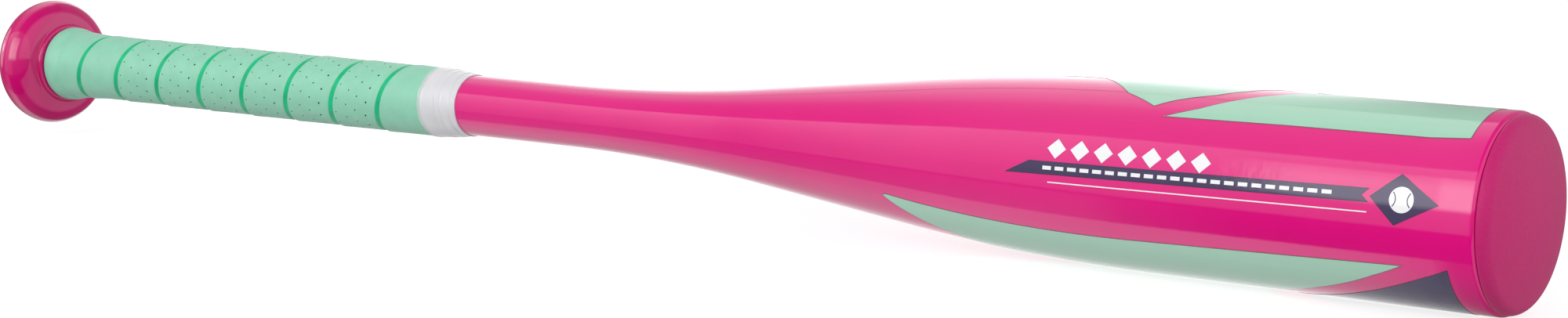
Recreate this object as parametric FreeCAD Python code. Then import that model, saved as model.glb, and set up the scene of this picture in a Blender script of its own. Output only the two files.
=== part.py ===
"""One-piece aluminium tee-ball bat, 25 in long with a 2 1/4 in barrel.

Frame: +X runs along the bat's axis from the knob to the barrel end, +Z is up, and the origin is the
centre of the knob's flat end face. Angles round the bat are in degrees from +Z towards -Y, so 0 is the
top, 90 is the near side and 180 is the bottom. All lengths are in millimetres.
"""

import FreeCAD
import Part
import math
import os

# Overall sizes
OVERALL_LENGTH = 635.0
BARREL_RADIUS = 57.15 / 2
HANDLE_RADIUS = 10.6

# Tube
TAPER_SLOPE = 0.12              # rise of the straight cone, mm per mm
TAPER_X = 365.0                 # a station on the straight cone ...
TAPER_RADIUS = 15.46            # ... and the outer radius there
HANDLE_BLEND = 42.0             # tangent length of the arc from handle to cone
BARREL_BLEND = 45.0             # tangent length of the arc from cone to barrel
HANDLE_WALL = 1.7
TAPER_WALL = 1.5
BARREL_WALL = 1.5
TUBE_START = 7.4                # the tube starts at the bottom of the knob's recess
TUBE_END = 626.2                # outer face of the rolled end
ROLL_RADIUS = 1.5               # outside radius of the rolled end
LIP_RADIUS = 23.6               # the rolled end closes in to this radius
LIP_THICKNESS = 1.6

# Knob
KNOB_RADIUS = 24.4
KNOB_RIM_X = 8.7                # station of the widest point
KNOB_FACE_RADIUS = 19.0
KNOB_SHOULDER_X = 17.6          # where the domed flank meets the neck's fillet
KNOB_SHOULDER_RADIUS = 15.6
NECK_FILLET = (18.1, 13.5)      # station and radius that the neck's fillet passes through
NECK_RADIUS = 12.6
NECK_START = 19.4
NECK_END = 30.0
NECK_END_RADIUS = 11.6
RECESS_RADIUS = 18.0            # hollow in the knob's end
RECESS_DEPTH = 7.4
WELD_LEG = 2.2
WELD_TOP_GAP = 0.1              # the bead stays this much below the neck's end
WELD_HOLLOW = (0.45, 0.35)      # how far the concave bead bows in, as shares of its leg and its height

# Rubber plug in the knob, and the disc on it
PLUG_HEAD = 3.0
PLUG_STEM_RADIUS = 8.8
PLUG_STEM_CLEARANCE = 0.4       # between the stem and the tube, short of the barb
PLUG_BARB_X = 11.0
PLUG_BARB_FLAT = 1.5
PLUG_BARB_LEAD = 1.5            # how much the barb's nose is smaller than the tube
PLUG_END = 17.0
PLUG_CORE_RADIUS = 5.0
DISC_RADIUS = 15.5
DISC_DEPTH = 0.4

# End cap
CAP_RADIUS = 28.0
CAP_RIM_ROUND = 4.0
CAP_ROOF_ROUND = 2.0
CAP_WALL = 2.4
CAP_NECK_RADIUS = 23.4
CAP_SKIRT_RADIUS = 25.4
CAP_SKIRT_LENGTH = 13.0
CAP_SKIRT_WALL = 2.0
CAP_SKIRT_LEAD = 3.0            # length of the barb's sloping nose
CAP_SEAT = 0.1                  # gap between the cap and the lip, on either face
CAP_ROOF_DROP = 0.6             # the inside of the dome starts this far above its rim
CAP_RIBS = 6
CAP_RIB_WIDTH = 1.6
CAP_RIB_REACH = 4.0             # the ribs run this far below the lip
CAP_BOSS_RADIUS = 5.0
CAP_BOSS_WALL = 2.0
CAP_BOSS_REACH = 5.0
CAP_BITE = 0.5                  # the ribs and the boss run this far into the walls they join
ADHESIVE_LENGTH = 6.0

# Grip
GRIP_START = 19.6
GRIP_END = 230.0
GRIP_RADIUS = 12.3
GRIP_NECK_RADIUS = 12.95        # outer radius just past the starting band
GRIP_NECK_END = 46.0
GRIP_BACKING = 0.15
GRIP_PITCH = 23.5
SEAM_X = 36.0                   # station of the first seam on the near side
SEAM_COUNT = 8
SEAM_WIDTH = 1.5
SEAM_DEPTH = 0.35
SEAM_CLEARANCE = 1.0            # the groove's cutter stands this far out of the grip
BAND_END = 25.4
BAND_RADIUS = 14.35
BAND_UNDER_RADIUS = 13.3
BAND_ROUND = 0.6
BAND_FALL = 0.1                 # the band is this much slimmer at its barrel end

# Finishing tape
TAPE_START = 221.5
TAPE_END = 238.5
TAPE_TURNS = 4
TAPE_LAYER = 0.14
TAPE_STEP = 1.6                 # from the edge of one turn to the next
TAPE_OVER_GRIP = 0.6            # the tape's full thickness ends this far past the grip

# Film transfers
FILM = 0.08
FILM_STOCK_START = 300.0        # the layer that the transfers are cut from starts here
CUTTER_REACH = 5.0              # the cutters run this far past the barrel's surface
REPEATS = {"near": 0.0, "far": 180.0}

# Outlines of the transfers on the near side: (station, angle) corners, and the angle that each faces.
MINT_SHIELD = [
    (428, 118), (430, 116.5), (605, 116.5), (595, 126.5), (575, 146), (561, 160), (545, 189),
    (538, 198.5), (527, 208), (521.5, 215), (510, 204), (496, 181), (465, 165), (442, 139.5),
]
MINT_PANEL = [
    (525.7, 42.5), (536, 33.5), (548, 19), (560, 5), (571, -8), (620.5, -8), (620.3, 21.5),
    (620, 38.5), (608.5, 40.5), (565, 41),
]
NAVY_FLAME = [
    (617.8, 116.2), (607.6, 126), (595.2, 138.4), (576.8, 157), (563, 171), (618.3, 171),
    (618.3, 144),
]
NAVY_BAR = [(477.6, 86), (486, 77.8), (595.3, 73.9), (593.2, 78), (595.4, 81.8)]
NAVY_DIAMOND = [(604.1, 64.3), (595.6, 78.4), (603.1, 93.1), (615.9, 79.8)]
PINSTRIPE = [(493, 89.6), (595, 86.8), (595, 87.5), (493, 90.3)]
FACING = {
    "mint_shield": 162,
    "mint_panel": 17,
    "navy_flame": 145,
    "navy_bar": 80,
    "navy_diamond": 78,
    "pinstripe": 88,
}
EMBLEM_X = 605.0
EMBLEM_ANGLE = 78.7
EMBLEM_RADIUS = 3.6
EMBLEM_SIDES = 36
LOZENGE_COUNT = 7
LOZENGE_FIRST = 495.0
LOZENGE_STEP = 8.0
LOZENGE_ANGLE = 69.5
LOZENGE_HALF_LENGTH = 3.2
LOZENGE_HALF_HEIGHT = 6.0       # degrees round the bat

X_AXIS = FreeCAD.Vector(1, 0, 0)
Y_AXIS = FreeCAD.Vector(0, 1, 0)
ORIGIN = FreeCAD.Vector(0, 0, 0)


def save(name, shape):
    """Writes one node, after checking that it is valid."""
    if not shape.isValid():
        raise RuntimeError(name + " is not a valid shape")
    shape.exportStep("parts/" + name + ".step")
    print("%-24s solids %d  volume %9.1f mm3" % (name, len(shape.Solids), shape.Volume))


def at(x, radius):
    """A point of a half profile: station along the axis, and radius."""
    return FreeCAD.Vector(x, 0, radius)


def line(a, b):
    return Part.LineSegment(a, b).toShape()


def arc(a, middle, b):
    return Part.Arc(a, middle, b).toShape()


def chain(points):
    """Straight edges through the points in order."""
    return [line(a, b) for a, b in zip(points, points[1:])]


def revolve(edges):
    """A solid of revolution about the bat's axis from a closed half profile."""
    face = Part.Face(Part.Wire(Part.__sortEdges__(edges)))
    solid = face.revolve(ORIGIN, X_AXIS, 360)
    return solid if solid.Volume > 0 else solid.reversed()


def revolve_points(points):
    return revolve(chain(points + points[:1]))


def ring(x0, x1, inner, outer):
    return revolve_points([at(x0, inner), at(x1, inner), at(x1, outer), at(x0, outer)])


def cone_radius(x, offset=0.0):
    """Radius on the straight cone of the taper."""
    return TAPER_RADIUS + offset + (x - TAPER_X) * TAPER_SLOPE


def blend_edges(corner, before, after):
    """An arc tangent to both legs of a corner, and its two ends."""
    start = corner - before
    end = corner + after
    bend = before.getAngle(after)
    radius = before.Length / math.tan(bend / 2)
    inward = (after - before).normalize()
    middle = corner + inward * (radius / math.cos(bend / 2) - radius)
    return start, arc(start, middle, end), end


def tube_profile(handle, barrel, offset, x_start, x_end):
    """Handle, arc, cone, arc and barrel as joined edges, at the given radii."""
    slope = FreeCAD.Vector(1, 0, TAPER_SLOPE).normalize()
    low = at(TAPER_X + (handle - TAPER_RADIUS - offset) / TAPER_SLOPE, handle)
    high = at(TAPER_X + (barrel - TAPER_RADIUS - offset) / TAPER_SLOPE, barrel)
    low_start, low_arc, low_end = blend_edges(low, X_AXIS * HANDLE_BLEND, slope * HANDLE_BLEND)
    high_start, high_arc, high_end = blend_edges(high, slope * BARREL_BLEND, X_AXIS * BARREL_BLEND)
    start = at(x_start, handle)
    end = at(x_end, barrel)
    return [line(start, low_start), low_arc, line(low_end, high_start), high_arc, line(high_end, end)]


def outer_profile(grow, x_start, x_end):
    """The tube's outside, moved outwards by grow."""
    return tube_profile(HANDLE_RADIUS + grow, BARREL_RADIUS + grow, grow, x_start, x_end)


def inner_profile(x_start, x_end):
    return tube_profile(
        HANDLE_RADIUS - HANDLE_WALL, BARREL_RADIUS - BARREL_WALL, -TAPER_WALL, x_start, x_end
    )


def bat_shell():
    """The drawn tube, with its barrel end rolled in to a flat lip."""
    roll_x = TUBE_END - ROLL_RADIUS
    roll_r = BARREL_RADIUS - ROLL_RADIUS
    turn = ROLL_RADIUS * math.sqrt(0.5)
    inside_x = TUBE_END - LIP_THICKNESS
    inner = inner_profile(TUBE_START, inside_x)
    outer = outer_profile(0.0, TUBE_START, roll_x)
    rolled = arc(at(roll_x, BARREL_RADIUS), at(roll_x + turn, roll_r + turn), at(TUBE_END, roll_r))
    lip = chain([
        at(TUBE_END, roll_r),
        at(TUBE_END, LIP_RADIUS),
        at(inside_x, LIP_RADIUS),
        at(inside_x, BARREL_RADIUS - BARREL_WALL),
    ])
    start = line(at(TUBE_START, HANDLE_RADIUS - HANDLE_WALL), at(TUBE_START, HANDLE_RADIUS))
    return revolve(outer + [rolled] + lip + inner + [start])


def crest_arc(x, radius):
    """Arc from the knob's widest point, where it runs along the axis, down to a point of the profile."""
    dx = x - KNOB_RIM_X
    centre_r = (dx**2 + radius**2 - KNOB_RADIUS**2) / (2 * (radius - KNOB_RADIUS))
    size = KNOB_RADIUS - centre_r
    tilt = math.atan2(dx, radius - centre_r) / 2
    middle = at(KNOB_RIM_X + size * math.sin(tilt), centre_r + size * math.cos(tilt))
    return arc(at(KNOB_RIM_X, KNOB_RADIUS), middle, at(x, radius))


def knob():
    """Mushroom knob: flat face, round rim, domed flank, filleted neck, bored for the tube."""
    rim = crest_arc(0, KNOB_FACE_RADIUS)
    flank = crest_arc(KNOB_SHOULDER_X, KNOB_SHOULDER_RADIUS)
    neck_fillet = arc(
        at(KNOB_SHOULDER_X, KNOB_SHOULDER_RADIUS), at(*NECK_FILLET), at(NECK_START, NECK_RADIUS)
    )
    inside = chain([
        at(NECK_START, NECK_RADIUS),
        at(NECK_END, NECK_END_RADIUS),
        at(NECK_END, HANDLE_RADIUS),
        at(RECESS_DEPTH, HANDLE_RADIUS),
        at(RECESS_DEPTH, RECESS_RADIUS),
        at(0, RECESS_RADIUS),
        at(0, KNOB_FACE_RADIUS),
    ])
    return revolve([rim, flank, neck_fillet] + inside)


def knob_weld():
    """Fillet bead where the neck ends on the tube."""
    top = NECK_END_RADIUS - WELD_TOP_GAP
    along, up = WELD_HOLLOW
    hollow = at(NECK_END + WELD_LEG * along, HANDLE_RADIUS + (top - HANDLE_RADIUS) * up)
    return revolve([
        line(at(NECK_END, HANDLE_RADIUS), at(NECK_END, top)),
        arc(at(NECK_END, top), hollow, at(NECK_END + WELD_LEG, HANDLE_RADIUS)),
        line(at(NECK_END + WELD_LEG, HANDLE_RADIUS), at(NECK_END, HANDLE_RADIUS)),
    ])


def knob_plug():
    """Rubber plug: a head that fills the knob's mouth, and a hollow barbed stem inside the tube."""
    bore = HANDLE_RADIUS - HANDLE_WALL
    return revolve_points([
        at(DISC_DEPTH, 0),
        at(DISC_DEPTH, DISC_RADIUS),
        at(0, DISC_RADIUS),
        at(0, RECESS_RADIUS),
        at(PLUG_HEAD, RECESS_RADIUS),
        at(PLUG_HEAD, PLUG_STEM_RADIUS),
        at(TUBE_START, PLUG_STEM_RADIUS),
        at(TUBE_START, bore - PLUG_STEM_CLEARANCE),
        at(PLUG_BARB_X, bore),
        at(PLUG_BARB_X + PLUG_BARB_FLAT, bore),
        at(PLUG_END, bore - PLUG_BARB_LEAD),
        at(PLUG_END, PLUG_CORE_RADIUS),
        at(PLUG_HEAD, PLUG_CORE_RADIUS),
        at(PLUG_HEAD, 0),
    ])


def knob_disc():
    """Blank disc in the plug's shallow recess, flush with the knob's end face."""
    return ring_disc(0.0, DISC_DEPTH, DISC_RADIUS)


def ring_disc(x0, x1, radius):
    return revolve_points([at(x0, 0), at(x1, 0), at(x1, radius), at(x0, radius)])


def dome_edges(x_edge, edge_radius, x_top, round_radius):
    """Half profile of a dome: a small arc at the rim, tangent to a wide arc over the crown."""
    height = x_top - x_edge
    crown = (edge_radius**2 + height**2 - 2 * edge_radius * round_radius) / (2 * (height - round_radius))
    rim_centre = at(x_edge, edge_radius - round_radius)
    crown_centre = at(x_top - crown, 0)
    out = (rim_centre - crown_centre).normalize()
    join = crown_centre + out * crown
    rim_tilt = math.atan2(out.x, out.z) / 2
    crown_tilt = math.atan2(out.z, out.x) / 2
    rim_mid = rim_centre + FreeCAD.Vector(math.sin(rim_tilt), 0, math.cos(rim_tilt)) * round_radius
    crown_mid = crown_centre + FreeCAD.Vector(math.cos(crown_tilt), 0, math.sin(crown_tilt)) * crown
    return [arc(at(x_edge, edge_radius), rim_mid, join), arc(join, crown_mid, at(x_top, 0))]


def end_cap():
    """Domed cap with a neck through the lip, a barbed skirt, a centre boss and radial ribs."""
    under = TUBE_END + CAP_SEAT
    lip_back = TUBE_END - LIP_THICKNESS
    skirt_end = lip_back - CAP_SKIRT_LENGTH
    skirt_inner = CAP_NECK_RADIUS - CAP_SKIRT_WALL
    roof_x = OVERALL_LENGTH - CAP_WALL
    roof_edge_x = under + CAP_ROOF_DROP
    body = revolve(
        dome_edges(under, CAP_RADIUS, OVERALL_LENGTH, CAP_RIM_ROUND)
        + chain([at(OVERALL_LENGTH, 0), at(roof_x, 0)])
        + dome_edges(roof_edge_x, skirt_inner, roof_x, CAP_ROOF_ROUND)
        + chain([
            at(roof_edge_x, skirt_inner),
            at(skirt_end, skirt_inner),
            at(skirt_end, CAP_NECK_RADIUS),
            at(skirt_end + CAP_SKIRT_LEAD, CAP_SKIRT_RADIUS),
            at(lip_back - CAP_SEAT, CAP_SKIRT_RADIUS),
            at(lip_back - CAP_SEAT, CAP_NECK_RADIUS),
            at(under, CAP_NECK_RADIUS),
            at(under, CAP_RADIUS),
        ])
    )
    rib_end = lip_back - CAP_RIB_REACH
    boss = ring(
        lip_back - CAP_BOSS_REACH, roof_x + CAP_BITE, CAP_BOSS_RADIUS - CAP_BOSS_WALL, CAP_BOSS_RADIUS
    )
    space = cap_space(roof_edge_x, roof_x, skirt_inner, rib_end)
    cap = body.fuse(boss)
    for i in range(CAP_RIBS):
        rib = Part.makeBox(
            roof_x - rib_end,
            CAP_RIB_WIDTH,
            skirt_inner - CAP_BOSS_RADIUS + 2 * CAP_BITE,
            FreeCAD.Vector(rib_end, -CAP_RIB_WIDTH / 2, CAP_BOSS_RADIUS - CAP_BITE),
        )
        rib.rotate(ORIGIN, X_AXIS, 360.0 * i / CAP_RIBS)
        cap = cap.fuse(rib.common(space))
    return cap.removeSplitter()


def cap_space(x_edge, x_top, radius, x_start):
    """The room inside the cap, a little oversize so that ribs bite into its walls."""
    wide = radius + CAP_BITE
    high = x_top + CAP_BITE
    walls = chain([at(high, 0), at(x_start, 0), at(x_start, wide), at(x_edge, wide)])
    return revolve(dome_edges(x_edge, wide, high, CAP_ROOF_ROUND) + walls)


def end_cap_adhesive():
    """Bead that fills the gap between the skirt and the barrel wall."""
    end = TUBE_END - LIP_THICKNESS - CAP_SEAT
    return ring(end - ADHESIVE_LENGTH, end, CAP_SKIRT_RADIUS, BARREL_RADIUS - BARREL_WALL)


def grip_backing():
    """Adhesive strip between the handle and the grip."""
    return ring(NECK_END + WELD_LEG, GRIP_END, HANDLE_RADIUS, HANDLE_RADIUS + GRIP_BACKING)


def helix_groove(x_first, turns, radius, width, depth):
    """Square groove that winds towards the barrel as it climbs the near side, from the bottom up."""
    wire = Part.makeHelix(GRIP_PITCH, GRIP_PITCH * turns, radius)
    low = radius - depth
    high = radius + SEAM_CLEARANCE
    half = width / 2
    section = Part.makePolygon([
        FreeCAD.Vector(low, 0, -half),
        FreeCAD.Vector(high, 0, -half),
        FreeCAD.Vector(high, 0, half),
        FreeCAD.Vector(low, 0, half),
        FreeCAD.Vector(low, 0, -half),
    ])
    groove = Part.Wire(wire.Edges).makePipeShell([section], True, True)
    groove.rotate(ORIGIN, Y_AXIS, 90)
    wound = groove.mirror(ORIGIN, Y_AXIS)
    wound.translate(X_AXIS * x_first)
    return wound


def grip_wrap():
    """The wound strip as one sleeve, with the seam between turns as a helical groove."""
    under = HANDLE_RADIUS + GRIP_BACKING
    sleeve = revolve_points([
        at(NECK_END + WELD_LEG, under),
        at(GRIP_END, under),
        at(GRIP_END, GRIP_RADIUS),
        at(GRIP_NECK_END, GRIP_RADIUS),
        at(BAND_END, GRIP_NECK_RADIUS),
        at(GRIP_START, BAND_UNDER_RADIUS),
        at(GRIP_START, NECK_RADIUS),
        at(NECK_END, NECK_END_RADIUS),
    ])
    turns = SEAM_COUNT - 0.5
    groove = helix_groove(SEAM_X - GRIP_PITCH / 4, turns, GRIP_RADIUS, SEAM_WIDTH, SEAM_DEPTH)
    return sleeve.cut(groove)


def grip_start_band():
    """Turned-over start of the strip, stepped up over the knob's neck."""
    return revolve_points([
        at(GRIP_START, BAND_UNDER_RADIUS),
        at(BAND_END, GRIP_NECK_RADIUS),
        at(BAND_END, BAND_RADIUS - BAND_ROUND),
        at(BAND_END - BAND_ROUND, BAND_RADIUS - BAND_FALL),
        at(GRIP_START + BAND_ROUND, BAND_RADIUS),
        at(GRIP_START, BAND_RADIUS - BAND_ROUND / 2),
    ])


def finishing_tape():
    """Vinyl tape wound over the end of the grip and down on to the handle, its turns stepped."""
    top = [
        at(TAPE_START, GRIP_RADIUS),
        at(TAPE_START, GRIP_RADIUS + TAPE_LAYER),
    ]
    for turn in range(1, TAPE_TURNS):
        x = TAPE_START + TAPE_STEP * turn
        top += [at(x, GRIP_RADIUS + TAPE_LAYER * turn), at(x, GRIP_RADIUS + TAPE_LAYER * (turn + 1))]
    top.append(at(GRIP_END + TAPE_OVER_GRIP, GRIP_RADIUS + TAPE_LAYER * TAPE_TURNS))
    for turn in range(TAPE_TURNS - 1, 0, -1):
        x = TAPE_END - TAPE_STEP * turn
        top += [
            at(x, HANDLE_RADIUS + TAPE_LAYER * (turn + 1)),
            at(x, HANDLE_RADIUS + TAPE_LAYER * turn),
        ]
    top += [
        at(TAPE_END, HANDLE_RADIUS + TAPE_LAYER),
        at(TAPE_END, HANDLE_RADIUS),
        at(GRIP_END, HANDLE_RADIUS),
        at(GRIP_END, GRIP_RADIUS),
    ]
    return revolve_points(top)


def skin():
    """A film-thick layer over the whole barrel and taper, which the transfers are cut from."""
    start = FILM_STOCK_START
    end = TUBE_END - ROLL_RADIUS
    outside = outer_profile(FILM, start, end)
    inside = outer_profile(0.0, start, end)
    near_end = line(at(start, HANDLE_RADIUS), at(start, HANDLE_RADIUS + FILM))
    far_end = line(at(end, BARREL_RADIUS), at(end, BARREL_RADIUS + FILM))
    return revolve(outside + [far_end] + inside + [near_end])


def outer_radius(x):
    """Outer radius of the tube at a station of the cone or the barrel."""
    return min(BARREL_RADIUS, cone_radius(x))


def flat_point(x, angle, facing):
    """A point of a transfer's outline, seen square on from the facing angle."""
    return FreeCAD.Vector(x, -outer_radius(x) * math.sin(math.radians(angle - facing)), 0)


def transfer(layer, outline, facing, turn):
    """Cuts a transfer from the film layer: the outline is pushed straight in from the facing angle."""
    points = [flat_point(x, angle, facing) for x, angle in outline]
    face = Part.Face(Part.makePolygon(points + points[:1]))
    block = face.extrude(FreeCAD.Vector(0, 0, BARREL_RADIUS + CUTTER_REACH))
    block.rotate(ORIGIN, X_AXIS, facing + turn)
    return layer.common(block)


def ball_emblem(layer, turn):
    """Round blank disc in the middle of the diamond."""
    span = math.degrees(EMBLEM_RADIUS / BARREL_RADIUS)
    outline = []
    for i in range(EMBLEM_SIDES):
        a = 2 * math.pi * i / EMBLEM_SIDES
        outline.append((EMBLEM_X + EMBLEM_RADIUS * math.cos(a), EMBLEM_ANGLE + span * math.sin(a)))
    return transfer(layer, outline, EMBLEM_ANGLE, turn)


def lozenges(layer, turn):
    """A row of plain lozenges."""
    solids = []
    for i in range(LOZENGE_COUNT):
        x = LOZENGE_FIRST + LOZENGE_STEP * i
        outline = [
            (x - LOZENGE_HALF_LENGTH, LOZENGE_ANGLE),
            (x, LOZENGE_ANGLE - LOZENGE_HALF_HEIGHT),
            (x + LOZENGE_HALF_LENGTH, LOZENGE_ANGLE),
            (x, LOZENGE_ANGLE + LOZENGE_HALF_HEIGHT),
        ]
        solids.append(transfer(layer, outline, LOZENGE_ANGLE, turn))
    return Part.makeCompound(solids)


def transfers():
    """All transfers, once on the near side and once half a turn round."""
    outlines = {
        "mint_shield": MINT_SHIELD,
        "mint_panel": MINT_PANEL,
        "navy_flame": NAVY_FLAME,
        "navy_bar": NAVY_BAR,
        "navy_diamond": NAVY_DIAMOND,
        "pinstripe": PINSTRIPE,
    }
    layer = skin()
    for side, turn in REPEATS.items():
        emblem = ball_emblem(layer, turn)
        shapes = {name: transfer(layer, outlines[name], facing, turn) for name, facing in FACING.items()}
        shapes["navy_diamond"] = shapes["navy_diamond"].cut(emblem)
        shapes["ball_emblem"] = emblem
        shapes["white_lozenges"] = lozenges(layer, turn)
        for name, shape in shapes.items():
            save(name + "_" + side, shape)


def main():
    os.makedirs("parts", exist_ok=True)
    save("bat_shell", bat_shell())
    save("knob", knob())
    save("knob_weld", knob_weld())
    save("knob_plug", knob_plug())
    save("knob_disc", knob_disc())
    save("end_cap", end_cap())
    save("end_cap_adhesive", end_cap_adhesive())
    save("grip_backing", grip_backing())
    save("grip_wrap", grip_wrap())
    save("grip_start_band", grip_start_band())
    save("finishing_tape", finishing_tape())
    transfers()


main()
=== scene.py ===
"""Tee-ball bat: fine meshes, materials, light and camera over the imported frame.

The bat lies along +X from knob to barrel end. Angles round it are in degrees from +Z towards -Y, so 0 is
the top, 90 the near side and 180 the bottom. Lengths are in millimetres and become metres in place().
"""
import bpy
import bmesh
import math
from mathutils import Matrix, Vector
from mathutils.geometry import delaunay_2d_cdt


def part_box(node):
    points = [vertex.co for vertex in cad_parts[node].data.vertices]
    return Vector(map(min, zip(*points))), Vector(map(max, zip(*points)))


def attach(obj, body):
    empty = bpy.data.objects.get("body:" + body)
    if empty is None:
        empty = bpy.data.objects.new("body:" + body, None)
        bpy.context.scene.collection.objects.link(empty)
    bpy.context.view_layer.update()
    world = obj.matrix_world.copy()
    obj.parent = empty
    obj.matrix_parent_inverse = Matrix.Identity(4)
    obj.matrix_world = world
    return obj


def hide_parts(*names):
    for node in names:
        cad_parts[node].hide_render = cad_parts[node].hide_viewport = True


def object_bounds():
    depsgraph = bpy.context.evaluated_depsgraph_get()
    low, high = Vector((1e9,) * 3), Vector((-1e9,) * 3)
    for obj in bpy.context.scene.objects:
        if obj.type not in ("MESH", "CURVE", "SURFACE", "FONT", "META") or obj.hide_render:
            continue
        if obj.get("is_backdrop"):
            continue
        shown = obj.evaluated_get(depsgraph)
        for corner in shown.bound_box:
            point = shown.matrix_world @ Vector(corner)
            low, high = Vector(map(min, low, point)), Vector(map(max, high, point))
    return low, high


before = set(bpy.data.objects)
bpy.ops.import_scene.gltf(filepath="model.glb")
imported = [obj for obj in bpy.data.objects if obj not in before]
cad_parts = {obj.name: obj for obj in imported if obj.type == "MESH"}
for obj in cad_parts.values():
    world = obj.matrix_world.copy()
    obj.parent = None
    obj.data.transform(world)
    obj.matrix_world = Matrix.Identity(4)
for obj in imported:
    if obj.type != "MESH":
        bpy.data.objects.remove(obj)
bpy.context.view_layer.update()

MM = 0.001
BODY = "root"
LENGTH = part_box("end_cap")[1].x / MM
BARREL = -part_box("bat_shell")[0].y / MM
TUBE_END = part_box("bat_shell")[1].x / MM
GRIP_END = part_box("grip_wrap")[1].x / MM
GRIP_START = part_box("grip_start_band")[0].x / MM
BAND_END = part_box("grip_start_band")[1].x / MM
BAND_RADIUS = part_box("grip_start_band")[1].z / MM
TAPE_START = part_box("finishing_tape")[0].x / MM
TAPE_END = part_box("finishing_tape")[1].x / MM
KNOB_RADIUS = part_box("knob")[1].z / MM
NECK_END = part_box("knob")[1].x / MM
HANDLE = 10.6
HANDLE_WALL = 1.7
BARREL_WALL = 1.5
TUBE_START = 7.4
FILM = 0.08
SIDES = {"near": 0.0, "far": 180.0}


# ---------------------------------------------------------------- mesh helpers

def place(x, angle, radius):
    """A point of the bat from station, angle round it and radius."""
    a = math.radians(angle)
    return (x * MM, -radius * math.sin(a) * MM, radius * math.cos(a) * MM)


def radial(angle):
    """Direction away from the axis at an angle."""
    a = math.radians(angle)
    return Vector((0, -math.sin(a), math.cos(a)))


def finish_piece(mesh, name, nodes, materials, sharp):
    """Makes the object, shades it, and ties it to the frame."""
    for m in materials:
        mesh.materials.append(m)
    obj = bpy.data.objects.new(name, mesh)
    bpy.context.scene.collection.objects.link(obj)
    if sharp:
        mesh.shade_smooth()
        mesh.set_sharp_from_angle(angle=math.radians(sharp))
    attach(obj, BODY)
    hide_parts(*nodes)
    return obj


def cleaned(verts, faces, marks=None):
    """A mesh with doubled points merged, empty faces gone and normals facing out."""
    mesh = bpy.data.meshes.new("piece")
    mesh.from_pydata(verts, [], faces)
    if marks:
        mesh.polygons.foreach_set("material_index", marks)
    bm = bmesh.new()
    bm.from_mesh(mesh)
    bmesh.ops.remove_doubles(bm, verts=bm.verts, dist=1e-7)
    thin = [f for f in bm.faces if f.calc_area() < 1e-14]
    bmesh.ops.delete(bm, geom=thin, context="FACES")
    bmesh.ops.recalc_face_normals(bm, faces=bm.faces)
    bm.to_mesh(mesh)
    bm.free()
    return mesh


def ring_faces(count, segments):
    """Faces between closed half profiles of count points that follow each other round the axis."""
    faces = []
    for j in range(segments):
        k = (j + 1) % segments
        for i in range(count):
            n = (i + 1) % count
            faces.append((j * count + i, j * count + n, k * count + n, k * count + i))
    return faces


def revolved(profile, segments, wobble=None):
    """Points and faces of a closed half profile (station, radius) turned about the axis."""
    verts = []
    for j in range(segments):
        angle = 360.0 * j / segments
        for x, r in profile:
            grow = wobble(x, angle) if wobble else 0.0
            verts.append(place(x, angle, r + grow))
    return verts, ring_faces(len(profile), segments)


def arc_points(cx, cr, radius, start, end, steps):
    """Points on an arc about (cx, cr); angles in degrees from the outward radius towards +X."""
    points = []
    for i in range(steps + 1):
        a = math.radians(start + (end - start) * i / steps)
        points.append((cx + radius * math.sin(a), cr + radius * math.cos(a)))
    return points


def spread(points, step):
    """The same line with points no further apart than step."""
    out = [points[0]]
    for (x0, r0), (x1, r1) in zip(points, points[1:]):
        n = max(1, math.ceil(math.hypot(x1 - x0, r1 - r0) / step))
        out += [(x0 + (x1 - x0) * i / n, r0 + (r1 - r0) * i / n) for i in range(1, n + 1)]
    return out


# ---------------------------------------------------------------- the tube

SLOPE = 0.12
CONE_X = 365.0
CONE_R = 15.46
HANDLE_TANGENT = 42.0
BARREL_TANGENT = 45.0
BEND_STEPS = 24


def bend_points(x, r, before, after, tangent):
    """The arc that rounds a corner of the profile, from its legs' slopes and its tangent length."""
    a0 = math.atan(before)
    a1 = math.atan(after)
    radius = tangent / math.tan((a1 - a0) / 2)
    sx = x - tangent * math.cos(a0)
    sr = r - tangent * math.sin(a0)
    cx = sx - radius * math.sin(a0)
    cr = sr + radius * math.cos(a0)
    turn = [a0 + (a1 - a0) * i / BEND_STEPS for i in range(BEND_STEPS + 1)]
    return [(cx + radius * math.sin(a), cr - radius * math.cos(a)) for a in turn]


def tube_line(handle, barrel, offset, start, end):
    """Handle, cone and barrel with rounded corners."""
    low = CONE_X + (handle - CONE_R - offset) / SLOPE
    high = CONE_X + (barrel - CONE_R - offset) / SLOPE
    return (
        [(start, handle)]
        + bend_points(low, handle, 0.0, SLOPE, HANDLE_TANGENT)
        + bend_points(high, barrel, SLOPE, 0.0, BARREL_TANGENT)
        + [(end, barrel)]
    )


OUTSIDE = tube_line(HANDLE, BARREL, 0.0, 0.0, LENGTH)


def tube_radius(x):
    """Outer radius of the tube at a station."""
    for (x0, r0), (x1, r1) in zip(OUTSIDE, OUTSIDE[1:]):
        if x0 <= x <= x1:
            return r0 + (r1 - r0) * (x - x0) / (x1 - x0)
    return BARREL


# ---------------------------------------------------------------- materials

def linear(rgb):
    """Display colour 0-255 to linear."""
    out = []
    for v in rgb:
        v /= 255
        out.append(v / 12.92 if v <= 0.04045 else ((v + 0.055) / 1.055) ** 2.4)
    return (*out, 1.0)


def new_material(name):
    m = bpy.data.materials.new(name)
    m.use_nodes = True
    return m, m.node_tree.nodes, m.node_tree.links, m.node_tree.nodes["Principled BSDF"]


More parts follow.
